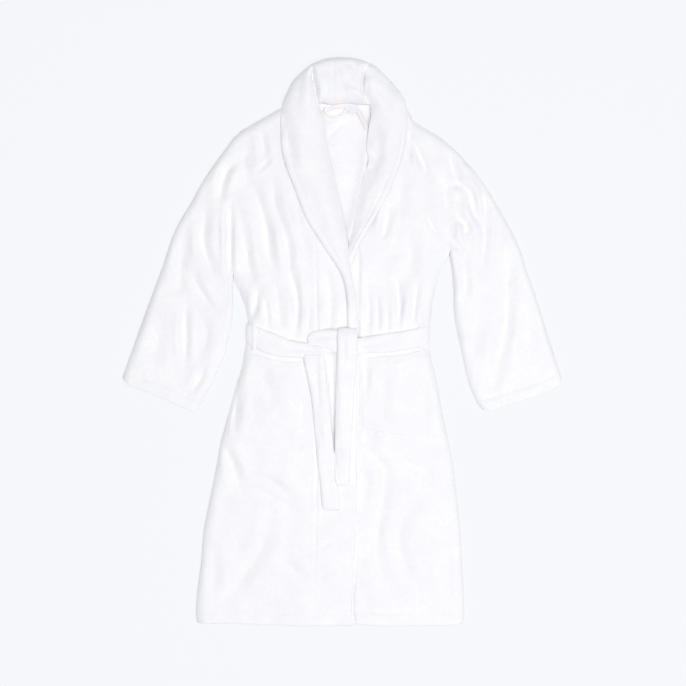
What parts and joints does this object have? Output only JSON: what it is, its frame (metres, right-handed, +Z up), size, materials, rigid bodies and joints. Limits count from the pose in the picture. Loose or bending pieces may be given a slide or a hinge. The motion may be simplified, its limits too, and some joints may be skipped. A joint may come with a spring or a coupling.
{
  "type": "bathrobe",
  "caption": "Shawl-collar bathrobe of thick plush fabric with patch pockets, a hanging loop and a tied sash, laid flat on its back.",
  "frame": {"origin": "on the surface that the robe lies on, in the middle of its length and of the span of its sleeves", "axes": "+Y from the hem to the collar, +Z up from the surface through the front of the robe, +X towards the wearer's left"},
  "size_m": [0.9676, 1.247, 0.0562],
  "materials": {
    "towelling": "thick brushed plush, matt",
    "sash_cloth": "thick brushed plush, doubled and stitched",
    "woven_tape": "woven twill tape",
    "label_satin": "woven satin, no print"
  },
  "bodies": {
    "root": {"back_panel": "towelling", "right_front": "towelling", "left_front": "towelling", "right_front_facing": "towelling", "left_front_facing": "towelling", "right_side_seam": "towelling", "left_side_seam": "towelling", "right_shoulder_seam": "towelling", "left_shoulder_seam": "towelling", "right_under_collar": "towelling", "left_under_collar": "towelling", "right_collar": "towelling", "left_collar": "towelling", "right_pocket": "towelling", "left_pocket": "towelling", "belt_back_span": "sash_cloth", "belt_right_span": "sash_cloth", "belt_left_span": "sash_cloth", "belt_knot": "sash_cloth", "belt_knot_strand": "sash_cloth", "right_belt_loop": "towelling", "left_belt_loop": "towelling", "neck_tape": "woven_tape", "care_label": "label_satin"},
    "right_sleeve": {"right_sleeve": "towelling"},
    "left_sleeve": {"left_sleeve": "towelling"},
    "upper_tail": {"belt_upper_tail": "sash_cloth"},
    "lower_tail": {"belt_lower_tail": "sash_cloth"},
    "hanging_loop": {"hanging_loop": "towelling"},
    "neck_label": {"neck_label": "label_satin"}
  },
  "joints": [
    {"name": "right_sleeve_fold", "type": "hinge", "parent": "root", "child": "right_sleeve", "pos_m": [-0.2373, 0.286, 0.0312], "axis": [0, 1, 0], "range_deg": [0, 150]},
    {"name": "left_sleeve_fold", "type": "hinge", "parent": "root", "child": "left_sleeve", "pos_m": [0.2373, 0.286, 0.0226], "axis": [0, -1, 0], "range_deg": [0, 150]},
    {"name": "upper_tail_swing", "type": "hinge", "parent": "root", "child": "upper_tail", "pos_m": [0.011, -0.0005, 0.0432], "axis": [0, 0, 1], "range_deg": [-35, 35]},
    {"name": "lower_tail_swing", "type": "hinge", "parent": "root", "child": "lower_tail", "pos_m": [-0.05, -0.0645, 0.0342], "axis": [0, 0, 1], "range_deg": [-10, 35]},
    {"name": "hanging_loop_flip", "type": "hinge", "parent": "root", "child": "hanging_loop", "pos_m": [-0.0105, 0.5185, 0.0112], "axis": [-1, 0, 0], "range_deg": [0, 90]},
    {"name": "neck_label_flip", "type": "hinge", "parent": "root", "child": "neck_label", "pos_m": [0.025, 0.5215, 0.0087], "axis": [-1, 0, 0], "range_deg": [0, 90]}
  ]
}
